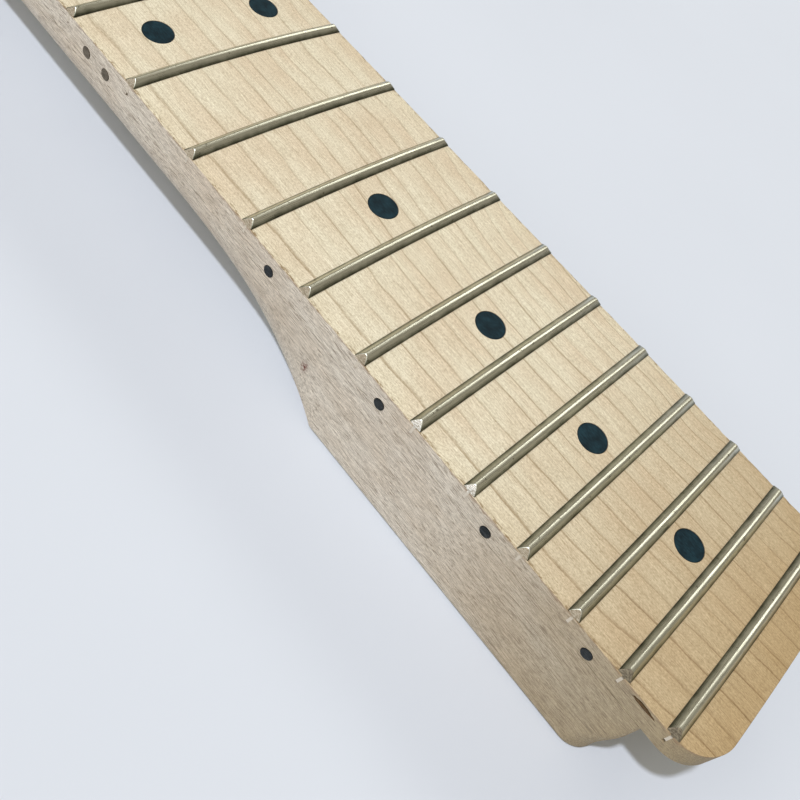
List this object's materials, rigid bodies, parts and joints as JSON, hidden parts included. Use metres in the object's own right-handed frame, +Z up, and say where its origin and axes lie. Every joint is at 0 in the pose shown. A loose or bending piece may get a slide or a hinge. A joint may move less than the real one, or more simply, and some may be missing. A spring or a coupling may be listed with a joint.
{
  "type": "electric guitar neck",
  "caption": "Bare maple bolt-on electric guitar neck with a separate overhanging fretboard, pressed frets, black dots and a turnable truss rod.",
  "frame": {"origin": "centre of the heel's flat mounting face, on the neck's centre line", "axes": "+X along the neck from the nut to the body end, +Z up out of the playing face, -Y towards the bass side"},
  "size_m": [0.6559, 0.0729, 0.0283],
  "materials": {
    "neck_maple": "bare sanded maple, unsealed",
    "board_maple": "bare sanded maple, pale, unsealed",
    "fret_wire": "nickel silver, filed and lightly polished",
    "bone": "sanded bone",
    "black_dot": "sanded flush, satin",
    "steel": "plain drawn steel",
    "brass": "as machined"
  },
  "bodies": {
    "neck": {"neck_shaft": "neck_maple", "fretboard": "board_maple", "fret_01": "fret_wire", "fret_02": "fret_wire", "fret_03": "fret_wire", "fret_04": "fret_wire", "fret_05": "fret_wire", "fret_06": "fret_wire", "fret_07": "fret_wire", "fret_08": "fret_wire", "fret_09": "fret_wire", "fret_10": "fret_wire", "fret_11": "fret_wire", "fret_12": "fret_wire", "fret_13": "fret_wire", "fret_14": "fret_wire", "fret_15": "fret_wire", "fret_16": "fret_wire", "fret_17": "fret_wire", "fret_18": "fret_wire", "fret_19": "fret_wire", "fret_20": "fret_wire", "fret_21": "fret_wire", "fret_22": "fret_wire", "nut": "bone", "face_dot_03": "black_dot", "face_dot_05": "black_dot", "face_dot_07": "black_dot", "face_dot_09": "black_dot", "face_dot_12_bass": "black_dot", "face_dot_12_treble": "black_dot", "face_dot_15": "black_dot", "face_dot_17": "black_dot", "face_dot_19": "black_dot", "face_dot_21": "black_dot", "side_dot_03": "black_dot", "side_dot_05": "black_dot", "side_dot_07": "black_dot", "side_dot_09": "black_dot", "side_dot_12_nut_side": "black_dot", "side_dot_12_body_side": "black_dot", "side_dot_15": "black_dot", "side_dot_17": "black_dot", "side_dot_19": "black_dot", "side_dot_21": "black_dot", "truss_rod_bar": "steel", "truss_block_nut_end": "brass", "truss_block_heel_end": "brass"},
    "truss_rod": {"truss_rod": "steel"}
  },
  "joints": [
    {"name": "truss_rod_turn", "type": "hinge", "parent": "neck", "child": "truss_rod", "pos_m": [-0.43646, 0, 0.015], "axis": [1, 0, 0], "range_deg": [-450, 450]}
  ]
}
